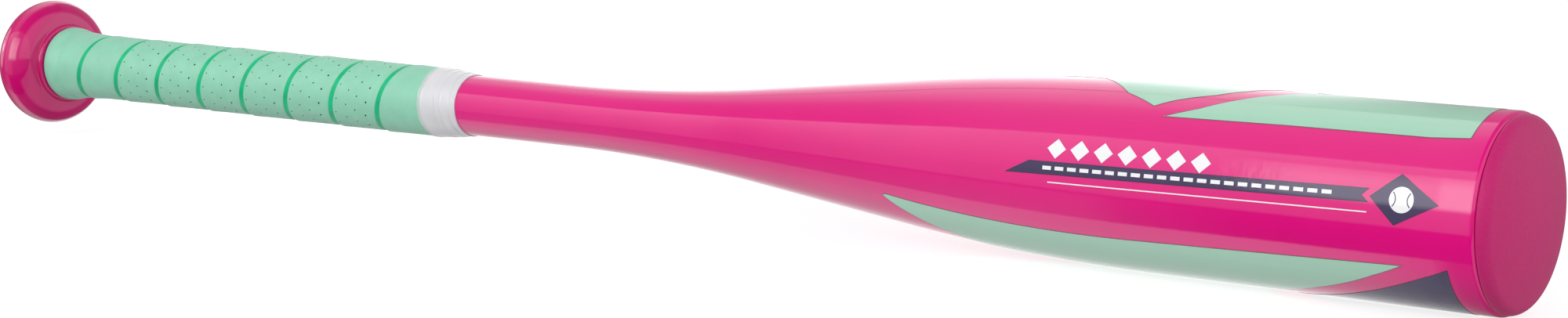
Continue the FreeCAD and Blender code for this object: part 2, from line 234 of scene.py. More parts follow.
def noise(nodes, links, scale, detail=2.0, squeeze=(1, 1, 1)):
    """Noise over the object's own coordinates, in cycles per metre."""
    where = nodes.new("ShaderNodeTexCoord")
    shape = nodes.new("ShaderNodeMapping")
    shape.inputs["Scale"].default_value = squeeze
    tex = nodes.new("ShaderNodeTexNoise")
    tex.inputs["Scale"].default_value = scale
    tex.inputs["Detail"].default_value = detail
    links.new(where.outputs["Object"], shape.inputs["Vector"])
    links.new(shape.outputs["Vector"], tex.inputs["Vector"])
    return tex.outputs["Fac"]


def tint(nodes, links, shader, fac, dark, light):
    """Base colour that moves between two tones over the middle of a noise."""
    ramp = nodes.new("ShaderNodeValToRGB")
    for stop, position, tone in zip(ramp.color_ramp.elements, (0.3, 0.7), (dark, light)):
        stop.position = position
        stop.color = tone
    links.new(fac, ramp.inputs["Fac"])
    links.new(ramp.outputs["Color"], shader.inputs["Base Color"])


def bumps(nodes, links, shader, layers, coat=False):
    """Stacked bump layers of (noise, depth in metres), on the base and perhaps the coat."""
    last = None
    for fac, depth in layers:
        bump = nodes.new("ShaderNodeBump")
        bump.inputs["Strength"].default_value = 1.0
        bump.inputs["Distance"].default_value = depth
        links.new(fac, bump.inputs["Height"])
        if last:
            links.new(last, bump.inputs["Normal"])
        last = bump.outputs["Normal"]
    links.new(last, shader.inputs["Normal"])
    if coat:
        links.new(last, shader.inputs["Coat Normal"])


def shade(rgb, factor):
    """The colour made lighter or darker by a factor."""
    return (rgb[0] * factor, rgb[1] * factor, rgb[2] * factor, 1.0)


def gloss(name, rgb, peel=1.3e-5, gloss_roughness=0.035, vary=0.03):
    """Paint or film under a clear coat, with the coat's slight orange peel."""
    m, nodes, links, s = new_material(name)
    s.inputs["Roughness"].default_value = 0.45
    s.inputs["Specular IOR Level"].default_value = 0.1
    s.inputs["Coat Weight"].default_value = 1.0
    s.inputs["Coat Roughness"].default_value = gloss_roughness
    s.inputs["Coat IOR"].default_value = 1.5
    tone = noise(nodes, links, 60.0, 3.0)
    tint(nodes, links, s, tone, shade(rgb, 1 - vary), shade(rgb, 1 + vary))
    coarse = noise(nodes, links, 260.0, 1.0)
    fine = noise(nodes, links, 900.0, 1.0)
    bumps(nodes, links, s, [(coarse, peel), (fine, peel * 0.25)], coat=True)
    return m


def satin(name, rgb, roughness, grain, depth, vary=0.05, level=0.5, tone_scale=None):
    """Moulded plastic, rubber or synthetic leather with a fine grain."""
    m, nodes, links, s = new_material(name)
    s.inputs["Roughness"].default_value = roughness
    s.inputs["Specular IOR Level"].default_value = level
    tone = noise(nodes, links, tone_scale or grain * 0.4, 4.0)
    tint(nodes, links, s, tone, shade(rgb, 1 - vary), shade(rgb, 1 + vary))
    bumps(nodes, links, s, [(noise(nodes, links, grain, 3.0), depth)])
    return m


def bare_metal(name):
    """Unpainted weld metal."""
    m, nodes, links, s = new_material(name)
    s.inputs["Metallic"].default_value = 1.0
    s.inputs["Roughness"].default_value = 0.38
    tint(nodes, links, s, noise(nodes, links, 900.0), (0.5, 0.5, 0.52, 1), (0.68, 0.68, 0.7, 1))
    bumps(nodes, links, s, [(noise(nodes, links, 1800.0), 2e-5)])
    return m


pink_paint = gloss("pink_paint", linear((223, 7, 125)), vary=0.02)
# The knob wears the tube's own pink, painted darker here as painted shade for the light the knob doesn't get.
knob_paint = gloss("knob_paint", linear((204, 5, 108)), vary=0.02)
mint_film = gloss("mint_film", linear((158, 206, 181)), vary=0.015)
navy_film = gloss("navy_film", linear((52, 36, 82)), vary=0.03)
white_film = gloss("white_film", linear((238, 238, 240)), vary=0.01)
film_edge = gloss("film_edge", linear((108, 92, 92)), vary=0.1)
navy_edge = gloss("navy_edge", linear((36, 20, 46)), vary=0.1)
cap_plastic = satin("cap_plastic", linear((192, 34, 108)), 0.5, 2600.0, 1.6e-5, 0.05, level=0.15)
cap_plastic.node_tree.nodes["Principled BSDF"].inputs["Sheen Weight"].default_value = 0.1
grip_strip = satin("grip_strip", linear((141, 207, 179)), 0.5, 2400.0, 2.0e-5, 0.04, tone_scale=200.0)
grip_margin = satin(
    "grip_margin", linear((2, 180, 122)), 0.42, 1500.0, 2.5e-5, 0.2, level=0.25, tone_scale=160.0,
)
# Dark green painted shade for the insides of the grip's holes, standing in for the shade down in the pits.
grip_hole_shade = satin("grip_hole_shade", linear((16, 78, 56)), 0.7, 2400.0, 2e-5, 0.2)
tape_vinyl = satin("tape_vinyl", linear((216, 215, 219)), 0.26, 420.0, 4.5e-5, 0.03)
tape_thin = satin("tape_thin", linear((186, 208, 200)), 0.22, 420.0, 4.5e-5, 0.04)
rubber = satin("rubber", (0.022, 0.022, 0.023, 1), 0.75, 1400.0, 4e-5, 0.15, level=0.3)
disc_plastic = satin("disc_plastic", linear((238, 238, 240)), 0.4, 900.0, 6e-6, 0.02)
adhesive = satin("adhesive", (0.6, 0.58, 0.5, 1), 0.3, 500.0, 4e-5, 0.1)
backing = satin("backing", (0.72, 0.7, 0.6, 1), 0.6, 900.0, 2e-5, 0.08)
weld_metal = bare_metal("weld_metal")


# ---------------------------------------------------------------- tube, cap and knob

def make_tube():
    """The painted tube with its barrel end rolled in."""
    roll = 1.5
    lip = 23.6
    back = TUBE_END - 1.6
    outside = tube_line(HANDLE, BARREL, 0.0, TUBE_START, TUBE_END - roll)
    inside = tube_line(HANDLE - HANDLE_WALL, BARREL - BARREL_WALL, -BARREL_WALL, TUBE_START, back)
    end = arc_points(TUBE_END - roll, BARREL - roll, roll, 0, 90, 12)[1:]
    profile = spread(outside, 12.0) + end + [(TUBE_END, lip), (back, lip)] + spread(inside[::-1], 25.0)
    mesh = cleaned(*revolved(profile, 288))
    finish_piece(mesh, "painted_tube", ["bat_shell"], [pink_paint], 40)


def dome(x_edge, edge, x_top, rim):
    """A rim arc tangent to a wide crown arc, from the edge to the axis."""
    height = x_top - x_edge
    crown = (edge**2 + height**2 - 2 * edge * rim) / (2 * (height - rim))
    join = math.degrees(math.atan2(x_edge - (x_top - crown), edge - rim))
    return (
        arc_points(x_edge, edge - rim, rim, 0, join, 14)
        + arc_points(x_top - crown, 0, crown, join, 90, 36)[1:]
    )


def make_cap():
    """Domed end cap with its crisp edge, neck and barbed skirt."""
    under = TUBE_END + 0.1
    edge = 28.0
    rim = 4.0
    neck = 23.4
    skirt = 25.4
    wall = 2.4
    hollow = 21.4
    back = TUBE_END - 1.7
    barb = back - 10
    end = back - 13
    top = dome(under, edge, LENGTH, rim)
    inside = dome(under + 0.6, hollow, LENGTH - wall, 2.0)[::-1]
    profile = (
        [(under, neck), (under, edge - 0.25), (under + 0.05, edge - 0.08)]
        + top[1:]
        + inside
        + [(end, hollow), (end, neck), (barb, skirt), (back, skirt), (back, neck)]
    )
    mesh = cleaned(*revolved(profile, 256))
    finish_piece(mesh, "domed_cap", ["end_cap"], [cap_plastic], 35)


def crest(x, radius):
    """Arc from the knob's widest point, where it runs along the axis, down to (x, radius)."""
    crown_x = 8.7
    dx = x - crown_x
    centre = (dx**2 + radius**2 - KNOB_RADIUS**2) / (2 * (radius - KNOB_RADIUS))
    size = KNOB_RADIUS - centre
    end = math.degrees(math.atan2(dx, radius - centre))
    return arc_points(crown_x, centre, size, 0, end, 28)


def make_knob():
    """Mushroom knob with a filleted neck, and the plug and disc in its end."""
    recess = 18.0
    rim = crest(0.0, 19.0)[::-1]
    flank = crest(17.3, 15.9)
    bead = [  # between the flank and the grip
        (17.38, 15.5), (17.5, 15.36), (17.75, 15.4), (18.0, 15.42), (18.3, 15.34), (18.6, 15.1),
        (18.8, 14.75), (18.9, 14.3), (18.95, 13.6), (19.4, 12.6),
    ]
    profile = (
        rim[:-1]
        + flank
        + bead
        + [(NECK_END, 11.6), (NECK_END, HANDLE), (TUBE_START, HANDLE)]
        + [(TUBE_START, recess), (0.3, recess), (0.0, recess + 0.3)]
    )
    mesh = cleaned(*revolved(profile, 224))
    finish_piece(mesh, "mushroom_knob", ["knob"], [knob_paint], 40)

    head = [
        (0.55, 0.0), (0.55, 15.4), (0.15, 15.55), (0.0, 15.8), (0.0, 16.6), (0.35, 16.75), (0.35, 17.05),
        (0.0, 17.2), (0.0, 17.75), (0.25, 18.0), (3.0, 18.0), (3.0, 8.8), (TUBE_START, 8.8),
        (TUBE_START, 8.5), (11.0, 8.9), (12.5, 8.9), (17.0, 7.4), (17.0, 5.0), (3.0, 5.0), (3.0, 0.0),
    ]
    mesh = cleaned(*revolved(head, 160))
    finish_piece(mesh, "rubber_plug", ["knob_plug"], [rubber], 30)

    disc = [(0.0, 0.0), (0.0, 15.0), (0.12, 15.3), (0.54, 15.38), (0.54, 0.0)]
    mesh = cleaned(*revolved(spread(disc, 2.5), 160))
    finish_piece(mesh, "blank_disc", ["knob_disc"], [disc_plastic], 30)


# ---------------------------------------------------------------- grip

# Places across the strip run from 0 to 1, and angles along it go down by 360 with each turn.
PITCH = 23.6
SEAM_X = 37.9
FIRST_TURN_CUT = 2.0
MARGIN = 0.098
GRIP_RADIUS = 12.3
NECK_GRIP_RADIUS = 12.95
NECK_GRIP_END = 46.0
STRIP_UNDER = 10.8
STRIP_FROM = 740.0
STRIP_TO = -2860.0
CELL_ANGLE = 24.66
CELL_ROWS = 8
HOLES_FROM = -100.0
HOLES_TO = -2260.0
HOLE_COLUMNS = (0.17, 0.38, 0.58, 0.80)
HOLE_SIZES = (0.25, 0.27, 0.29, 0.38)
HOLE_START = 21.0
HOLE_DROP = 8.8
HOLE_DEPTH = 0.42
HOLE_TAPER = 0.86
HOLE_SIDES = 14
TAPER_START = 222.5
TAPER_LENGTH = 15.5


def eased(t):
    t = min(1.0, max(0.0, t))
    return t * t * (3 - 2 * t)


def rise(x, start, length):
    """Eases from 0 to 1 over a length along the bat."""
    return eased((x - start) / length)


def tape_base(x):
    """Radius that the finishing tape lies on: the grip, then down to the handle."""
    t = min(1.0, max(0.0, (x - TAPER_START) / TAPER_LENGTH))
    return GRIP_RADIUS - (GRIP_RADIUS - HANDLE - 0.1) * (0.6 * t + 0.4 * eased(t))


def grip_base(x):
    """Radius of the grip without its laps: wider over the knob's neck."""
    if x < BAND_END:
        return NECK_GRIP_RADIUS + 0.35 * (BAND_END - x) / (BAND_END - GRIP_START)
    if x < NECK_GRIP_END:
        fall = rise(x, BAND_END, NECK_GRIP_END - BAND_END)
        return NECK_GRIP_RADIUS - (NECK_GRIP_RADIUS - GRIP_RADIUS) * fall
    return min(GRIP_RADIUS, tape_base(x) - 0.1 * rise(x, 219.0, 2.5))


LAP = [  # place across the strip and height over the grip's base
    (0.0, -0.12), (0.03, -0.14), (0.06, -0.15), (0.084, -0.13), (MARGIN, -0.07), (0.103, 0.05), (0.111, 0.17),
    (0.121, 0.22), (0.134, 0.25), (0.15, 0.255), (0.17, 0.24), (0.21, 0.21), (0.26, 0.18), (0.32, 0.145),
    (0.40, 0.115), (0.48, 0.09), (0.56, 0.07), (0.64, 0.05), (0.72, 0.035), (0.80, 0.02), (0.87, 0.01),
    (0.93, 0.0), (0.965, -0.01), (0.985, -0.04), (0.995, -0.10), (1.0, -0.2),
]


def lap_height(p):
    """Height of the strip over the grip's base, at a place across its width."""
    for (p0, h0), (p1, h1) in zip(LAP, LAP[1:]):
        if p <= p1:
            return h0 + (h1 - h0) * (p - p0) / (p1 - p0)
    return LAP[-1][1]


def strip_point(p, angle, sink=0.0, under=False):
    """A point of the wound strip from its place across and along it; the laps flatten towards both ends."""
    x = SEAM_X + PITCH * p - PITCH * (angle - 90) / 360
    x -= FIRST_TURN_CUT * rise(x, 38.0, 20.0)
    if under:
        return place(x, angle, min(STRIP_UNDER, grip_base(x) - 0.6))
    full = (1 - rise(x, 216.0, 4.0)) * rise(x, 20.0, 8.0)
    a = math.radians(angle)
    wave = 0.03 * math.sin(a * 0.63 + 2.0) + 0.02 * math.sin(a * 2.3)
    return place(x, angle, grip_base(x) + (lap_height(p) + wave * (p > MARGIN)) * full - sink)


def strip_cell(with_holes):
    """One repeat of the strip as a flat pattern: points (p, s, sink), faces, and their marks."""
    across = [p for p, _ in LAP]
    length = CELL_ANGLE * math.pi / 180 * GRIP_RADIUS
    holes = []
    if with_holes:
        for i, (p, size) in enumerate(zip(HOLE_COLUMNS, HOLE_SIZES)):
            s = (HOLE_START - HOLE_DROP * i) % CELL_ANGLE / CELL_ANGLE
            holes.append((p, s, size))

    def clear(p, s, gap):
        return all(math.hypot((p - a) * PITCH, (s - b) * length) > r * gap for a, b, r in holes)

    def circle(a, b, r):
        turns = [2 * math.pi * i / HOLE_SIDES for i in range(HOLE_SIDES)]
        return [(a + r * math.cos(t) / PITCH, b + r * math.sin(t) / length) for t in turns]

    flat = []
    for j in range(CELL_ROWS + 1):
        for p in across:
            edge = j in (0, CELL_ROWS) or p in (0.0, 1.0)
            if edge or clear(p, j / CELL_ROWS, 1.5):
                flat.append((p, j / CELL_ROWS))
    edges = []
    rims = []
    for hole in holes:
        ring = [len(flat) + i for i in range(HOLE_SIDES)]
        flat += circle(*hole)
        edges += list(zip(ring, ring[1:] + ring[:1]))
        rims.append(ring)
    coords = [Vector((p * PITCH, s * length)) for p, s in flat]
    _, _, tris, source, _, _ = delaunay_2d_cdt(coords, edges, [], 0, 1e-6)
    back = [ids[0] for ids in source]
    points = [(*flat[i], 0.0) for i in back]
    spot = {i: n for n, i in enumerate(back)}
    faces = []
    marks = []
    for tri in tris:
        p = sum(points[i][0] for i in tri) / 3
        s = sum(points[i][1] for i in tri) / 3
        if clear(p, s, 0.97):
            faces.append(tuple(tri))
            marks.append(1 if p < MARGIN else 0)
    for (a, b, r), ring in zip(holes, rims):
        rim = [spot[i] for i in ring]
        first = len(points)
        points += [(x, y, HOLE_DEPTH) for x, y in circle(a, b, HOLE_TAPER * r)]
        for i in range(HOLE_SIDES):
            n = (i + 1) % HOLE_SIDES
            faces.append((rim[i], rim[n], first + n, first + i))
        faces.append(tuple(range(first, first + HOLE_SIDES)))
        # the holes' walls and floors take the dark green painted shade
        marks += [2] * (HOLE_SIDES + 1)
    return points, faces, marks


def make_grip():
    """The wound strip: lapped turns with a green margin in each seam, and rows of small holes."""
    plain = strip_cell(False)
    holed = strip_cell(True)
    verts = []
    faces = []
    marks = []
    count = math.ceil((STRIP_FROM - STRIP_TO) / CELL_ANGLE)
    for k in range(count):
        start = STRIP_FROM - CELL_ANGLE * k
        middle = start - CELL_ANGLE / 2
        points, tris, tags = holed if HOLES_TO < middle < HOLES_FROM else plain
        first = len(verts)
        for p, s, sink in points:
            verts.append(strip_point(p, start - CELL_ANGLE * s, sink))
        faces += [tuple(first + i for i in t) for t in tris]
        marks += tags
        low = len(verts)
        for j in range(CELL_ROWS + 1):
            angle = start - CELL_ANGLE * j / CELL_ROWS
            for p in (0.0, 1.0):
                verts.append(strip_point(p, angle))
                verts.append(strip_point(p, angle, under=True))
        for j in range(CELL_ROWS):
            a = low + 4 * j
            b = a + 4
            faces += [(a, a + 1, b + 1, b), (a + 2, b + 2, b + 3, a + 3), (a + 1, a + 3, b + 3, b + 1)]
            marks += [1, 0, 0]
    mesh = bpy.data.meshes.new("strip")
    mesh.from_pydata(verts, [], faces)
    mesh.polygons.foreach_set("material_index", marks)
    bm = bmesh.new()
    bm.from_mesh(mesh)
    bmesh.ops.remove_doubles(bm, verts=bm.verts, dist=2e-7)
    for x, way in ((GRIP_START + 0.2, -1), (GRIP_END, 1)):
        cut = bmesh.ops.bisect_plane(
            bm, geom=bm.verts[:] + bm.edges[:] + bm.faces[:], dist=1e-8,
            plane_co=(x * MM, 0, 0), plane_no=(way, 0, 0), clear_outer=True,
        )
        rim = [e for e in cut["geom_cut"] if isinstance(e, bmesh.types.BMEdge)]
        bmesh.ops.holes_fill(bm, edges=rim, sides=0)
    bmesh.ops.recalc_face_normals(bm, faces=bm.faces)
    bm.to_mesh(mesh)
    bm.free()
    finish_piece(mesh, "wound_grip", ["grip_wrap"], [grip_strip, grip_margin, grip_hole_shade], 38)


def make_band():
    """Turned-over start of the strip, stepped up over the knob's neck."""
    under = 12.9
    top = BAND_RADIUS
    profile = [
        (GRIP_START, under), (GRIP_START, top - 0.8), (GRIP_START + 0.1, top - 0.4),
        (GRIP_START + 0.35, top - 0.15), (GRIP_START + 0.9, top), (GRIP_START + 2.0, top - 0.04),
        (GRIP_START + 3.4, top - 0.2), (BAND_END - 0.8, top - 0.5), (BAND_END + 0.2, top - 0.85),
        (BAND_END + 1.0, top - 1.2), (BAND_END + 1.5, top - 1.42), (BAND_END + 1.5, under - 0.3),
    ]

    def uneven(x, angle):
        a = math.radians(angle)
        return (0.05 * math.sin(2 * a + 1.0) + 0.035 * math.sin(5 * a + x)) * rise(x, GRIP_START, 1.0)

    mesh = cleaned(*revolved(profile, 192, uneven))
    finish_piece(mesh, "start_band", ["grip_start_band"], [grip_strip], 50)


# ---------------------------------------------------------------- finishing tape

TAPE_STEPS = [  # station, how far the edge strays round the bat, where it strays, and the step up
    (TAPE_START, 0.12, 20.0, 0.12),
    (223.2, 0.15, 200.0, 0.14),
    (228.9, 0.9, 70.0, 0.13),
    (232.3, 0.8, 130.0, 0.10),
    (235.4, 0.5, 40.0, -0.16),
]


def tape_column(angle):
    """Half profile of the tape at one angle, with the edges of its turns."""
    points = []
    height = 0.0
    last = None
    lead = 0.2
    curl = 0.3
    for x, stray, phase, step in TAPE_STEPS:
        edge = x + stray * math.sin(math.radians(angle - phase))
        crisp = 0.45 + 0.55 * math.sin(math.radians(angle * 2 - phase)) ** 2
        if last is not None:
            for i in range(1, 6):
                t = last + curl + (edge - last - curl - lead) * i / 6
                points.append((t, tape_base(t) + height))
            points.append((edge - lead, tape_base(edge - lead) + height - 0.02 * crisp))
        height += step
        points.append((edge, tape_base(edge) + height + 0.09 * crisp))
        points.append((edge + 0.12, tape_base(edge) + height + 0.10 * crisp))
        points.append((edge + curl, tape_base(edge + curl) + height))
        last = edge
    end = TAPE_END + 0.12 * (math.sin(math.radians(angle - 90)) - 1)
    for i in range(1, 5):
        t = last + curl + (end - 0.4 - last) * i / 5
        points.append((t, tape_base(t) + height))
    top = tape_base(end) + height
    under = HANDLE - 0.05
    points += [(end - 0.1, top), (end, top - 0.08), (end, under)]
    points += [(GRIP_END, under), (GRIP_END - 3, 11.3), (points[0][0], 12.0)]
    return points


def make_tape():
    """The finishing tape, slightly creased; its first turn takes the tint of the grip under it."""
    segments = 240
    thin_faces = 8
    under_points = 4
    verts = []
    count = len(tape_column(0))
    for j in range(segments):
        angle = 360.0 * j / segments
        a = math.radians(angle)
        for i, (x, r) in enumerate(tape_column(angle)):
            if i < count - under_points:
                r += 0.03 * math.sin(3 * a + x * 1.7) * math.sin(7 * a - x * 0.9)
            verts.append(place(x, angle, r))
    marks = [1 if i < thin_faces else 0 for _ in range(segments) for i in range(count)]
    mesh = cleaned(verts, ring_faces(count, segments), marks)
    finish_piece(mesh, "wound_tape", ["finishing_tape"], [tape_vinyl, tape_thin], 28)


# ---------------------------------------------------------------- film graphics

MESH_Y = 1.25
MESH_GUARD = 0.45
SHARPEST = 0.3


def flattened(outline, facing, step):
    """The outline as close points (x, arc length), with straight sides when seen from the facing angle."""
    seen = []
    for x, a in outline:
        r = min(BARREL, CONE_R + (x - CONE_X) * SLOPE)
        seen.append((x, r * math.sin(math.radians(a - facing))))
    ring = spread(seen + seen[:1], step)[:-1]
    out = []
    for x, h in ring:
        r = tube_radius(x)
        angle = facing + math.degrees(math.asin(max(-1, min(1, h / r))))
        out.append(Vector((x, math.radians(angle) * BARREL)))
    return out


def signed_area(ring):
    return sum(a.x * b.y - b.x * a.y for a, b in zip(ring, ring[1:] + ring[:1])) / 2


def inset(ring, width):
    """The ring moved inwards by width; a very sharp corner isn't mitred."""
    way = 1 if signed_area(ring) > 0 else -1
    out = []
    for i, p in enumerate(ring):
        before = (p - ring[i - 1]).normalized()
        after = (ring[(i + 1) % len(ring)] - p).normalized()
        n0 = Vector((-before.y, before.x)) * way
        n1 = Vector((-after.y, after.x)) * way
        mitre = n0 + n1
        size = mitre.length_squared
        if size < SHARPEST:
            out.append(p + n0 * width)
        else:
            out.append(p + mitre * (2 * width / size))
    return out


def inside(ring, p):
    hit = False
    for a, b in zip(ring, ring[1:] + ring[:1]):
        if (a.y > p.y) != (b.y > p.y) and p.x < a.x + (b.x - a.x) * (p.y - a.y) / (b.y - a.y):
            hit = not hit
    return hit


def make_film(name, rings, facing, turn, node, materials, rim=0.0, lift=0.0, step=1.0, mesh_x=3.0):
    """Closed thin solids that follow the tube, one for each outline; a rim takes the second material."""
    verts = []
    faces = []
    marks = []
    normals = []
    for outline in rings:
        ring = flattened(outline, facing, step)
        loops = [ring]
        if rim:
            loops.append(inset(ring, rim))
        core = loops[-1]
        coords = []
        edges = []
        for loop in loops:
            first = len(coords)
            coords += loop
            edges += [(first + i, first + (i + 1) % len(loop)) for i in range(len(loop))]
        guard = inset(core, MESH_GUARD)
        low_x, high_x = min(p.x for p in ring), max(p.x for p in ring)
        low_y, high_y = min(p.y for p in ring), max(p.y for p in ring)
        for i in range(math.ceil(low_x / mesh_x), math.floor(high_x / mesh_x) + 1):
            for j in range(math.ceil(low_y / MESH_Y), math.floor(high_y / MESH_Y) + 1):
                p = Vector((mesh_x * i, MESH_Y * j))
                if inside(guard, p) and inside(core, p):
                    coords.append(p)
        out, _, tris, _, _, _ = delaunay_2d_cdt(coords, edges, [], 0, 1e-5)
        base = len(verts)
        size = len(out)
        for level in (1, 0):
            for p in out:
                angle = math.degrees(p.y / BARREL) + turn
                verts.append(place(p.x, angle, tube_radius(p.x) + (FILM + lift) * level))
        used = {}
        for tri in tris:
            middle = (out[tri[0]] + out[tri[1]] + out[tri[2]]) / 3
            if not inside(ring, middle):
                continue
            if signed_area([out[i] for i in tri]) < 0:
                tri = tri[::-1]
            mark = 1 if rim and not inside(core, middle) else 0
            faces.append(tuple(base + i for i in tri[::-1]))
            marks.append(mark)
            normals += [radial(math.degrees(out[i].y / BARREL) + turn) for i in tri[::-1]]
            faces.append(tuple(base + size + i for i in tri))
            marks.append(mark)
            normals += [-radial(math.degrees(out[i].y / BARREL) + turn) for i in tri]
            for i in range(3):
                key = (tri[i], tri[(i + 1) % 3])
                used[key] = True
        for a, b in used:
            if (b, a) not in used:
                faces.append((base + a, base + b, base + size + b, base + size + a))
                marks.append(1 if rim else 0)
                along = out[b] - out[a]
                side = radial(math.degrees(out[a].y / BARREL) + turn + 90) * -along.x
                normals += [(side + Vector((along.y, 0, 0))).normalized()] * 4
    mesh = bpy.data.meshes.new(name)
    mesh.from_pydata(verts, [], faces)
    mesh.polygons.foreach_set("material_index", marks)
    mesh.shade_smooth()
    mesh.normals_split_custom_set([tuple(n) for n in normals])
    return finish_piece(mesh, name, [node], materials, 0)


# Outlines are lists of (station, angle).
MINT_SHIELD = [
    (428, 118), (430, 116.5), (605, 116.5), (595, 126.5), (575, 146), (561, 160), (545, 189),
    (538, 198.5), (527, 208), (521.5, 215), (510, 204), (496, 181), (465, 165), (442, 139.5),
]
MINT_PANEL = [
    (525.7, 42.5), (536, 33.5), (548, 19), (560, 5), (571, -8), (620.5, -8), (620.3, 21.5),
    (620, 38.5), (608.5, 40.5), (565, 41),
]
NAVY_FLAME = [
    (617.8, 116.2), (607.6, 126), (595.2, 138.4), (576.8, 157), (563, 171), (618.3, 171), (618.3, 144),
]
NAVY_BAR = [(477.6, 86), (486, 77.8), (595.3, 73.9), (593.2, 78), (595.4, 81.8)]
NAVY_DIAMOND = [(604.1, 64.3), (595.6, 78.4), (603.1, 93.1), (615.9, 79.8)]
PINSTRIPE = [(493, 89.6), (595, 86.8), (595, 87.5), (493, 90.3)]
EMBLEM = (605.0, 78.7, 3.6)  # station, angle and radius
LOZENGES = 7
LOZENGE_START = 495.0
LOZENGE_PITCH = 8.0
LOZENGE_ANGLE = 69.5
DASHES = 22
DASH_START = 491.0
DASH_PITCH = 4.3
DASH_LENGTH = 3.0
DASH_HALF = 1.1
DASH_FALL = 0.1
BAR_SLOPE = 0.0343  # degrees round the tube for each millimetre along the bar
DEGREES_PER_MM = 180 / math.pi / BARREL


def emblem_ring():
    x, angle, size = EMBLEM
    turns = [2 * math.pi * i / 40 for i in range(40)]
    return [(x + size * math.cos(a), angle + size * DEGREES_PER_MM * math.sin(a)) for a in turns]


def emblem_seam(side):
    """One curved seam line of the plain ball, between two arcs."""
    x, angle, size = EMBLEM
    centre = x + side * size * 1.25
    half = 46
    steps = 14
    turns = [math.radians(-half + 2 * half * i / steps) for i in range(steps + 1)]
    outer, inner = [
        [(centre - side * r * math.cos(a), angle + r * DEGREES_PER_MM * math.sin(a)) for a in turns]
        for r in (2.9, 2.6)
    ]
    return outer + inner[::-1]


def lozenge(i):
    """One of the row of plain lozenges."""
    x = LOZENGE_START + LOZENGE_PITCH * i
    wide = 3.2
    tall = 6.0
    return [
        (x - wide, LOZENGE_ANGLE), (x, LOZENGE_ANGLE - tall),
        (x + wide, LOZENGE_ANGLE), (x, LOZENGE_ANGLE + tall),
    ]


def bar_dash(i):
    """One of the short dashes along the middle of the navy bar."""
    x = DASH_START + DASH_PITCH * i
    end = x + DASH_LENGTH
    middle = 81.5 - BAR_SLOPE * (x - 490)
    low = middle + DASH_HALF
    high = middle - DASH_HALF
    return [(x, low), (end, low - DASH_FALL), (end, high - DASH_FALL), (x, high)]


def make_films():
    """The same set of films on both sides; those that lie on others are lifted a little."""
    for side, turn in SIDES.items():
        def film(name, rings, facing, material, rim=0.0, lift=0.0, step=1.0, node=None, mesh_x=3.0):
            edge = navy_edge if material is navy_film else film_edge
            make_film(
                "film_" + name + "_" + side, rings, facing, turn,
                (node or name) + "_" + side, [material, edge], rim, lift, step, mesh_x,
            )

        film("mint_shield", [MINT_SHIELD], 162, mint_film, rim=0.26)
        film("mint_panel", [MINT_PANEL], 17, mint_film, rim=0.26)
        film("navy_flame", [NAVY_FLAME], 145, navy_film, rim=0.2, lift=0.004)
        film("navy_bar", [NAVY_BAR], 80, navy_film, rim=0.16)
        film("navy_diamond", [NAVY_DIAMOND], 78, navy_film, rim=0.16, mesh_x=1.2)
        ball = [emblem_ring()]
        film("ball_emblem", ball, EMBLEM[1], white_film, lift=0.03, step=0.5, mesh_x=1.2)
        seams = [emblem_seam(1), emblem_seam(-1)]
        film("ball_seams", seams, EMBLEM[1], navy_film, lift=0.05, step=0.3, node="ball_emblem")
        lozenges = [lozenge(i) for i in range(LOZENGES)]
        film("white_lozenges", lozenges, LOZENGE_ANGLE, white_film, step=0.8)
        dashes = [bar_dash(i) for i in range(DASHES)]
        film("bar_dashes", dashes, 80, white_film, lift=0.03, step=1.5, node="navy_bar")
        film("pinstripe", [PINSTRIPE], 88, white_film, step=2.0)


# ---------------------------------------------------------------- light, floor and camera

# Each light is a strip along the bat: brightness over the direction round it (degrees, 0 in front, 90 above,
# 180 behind). LIGHTS lists each with its fades along the bat: from, to, and the factor at each end.
FRONT = [(-180, 0), (-19.5, 0), (-17.5, 0.7), (0, 0.8), (22, 1.1), (44, 1.6), (51, 1.8), (52.4, 0), (180, 0)]
ABOVE = [
    (-180, 0), (51, 0), (52.4, 0.6), (86, 0.8), (94, 0.9), (103, 1.3), (123.5, 1.5), (125.6, 0.9),
    (127, 0), (180, 0),
]
BEHIND = [(-180, 0), (126, 0), (128, 1.5), (142, 1.7), (160, 2.1), (180, 2.1)]
BELOW = [
    (-180, 1.3), (-140, 1.2), (-120, 1.0), (-104, 1.1), (-80, 1.5), (-53, 1.5), (-51.5, 0), (180, 0),
]
LOW = [(-180, 0), (-53, 0), (-51.5, 0.6), (-22, 0.5), (-18, 0), (180, 0)]
KEY = [(-180, 0), (4, 0), (9, 2.7), (30, 2.4), (41, 1.0), (42.5, 0), (180, 0)]
END = [(-180, 0.9), (-34, 0.8), (-28, 0), (6, 0), (10, 1.1), (180, 1.2)]
LIGHTS = [
    (FRONT, (-0.82, -0.74, 0.12, 1.0), (-0.3, 0.1, 1.0, 0.3)),
    (ABOVE, (-0.90, -0.55, 0.10, 1.0), (-0.40, -0.15, 1.0, 0.1)),
    (BEHIND, (-0.90, -0.55, 0.10, 1.0), (-0.48, -0.40, 1.0, 0.2)),
    (BELOW, (-0.95, -0.60, 0.10, 1.0), (-0.44, -0.36, 1.0, 0.15)),
    (LOW, (-0.95, -0.60, 0.10, 1.0), (-0.55, -0.45, 1.0, 0.0)),
    (KEY, (-0.475, -0.445, 0.0, 1.0), (-0.40, -0.385, 1.0, 1.6), (0.15, 0.4, 1.0, 0.0)),
    (END, (0.35, 0.6, 0.0, 0.9)),
]
BRIGHTEST = 2.5
# A round light beyond the knob: its direction, then the fades of its rim and core over the cosine from it.
SIDE_LIGHT = (-0.96, -0.18, 0.16)
SIDE_EDGE = (0.955, 0.962, 0.0, 1.3)
SIDE_CORE = (0.996, 0.9985, 0.0, 3.5)


def grey(v):
    return (v, v, v, 1.0)


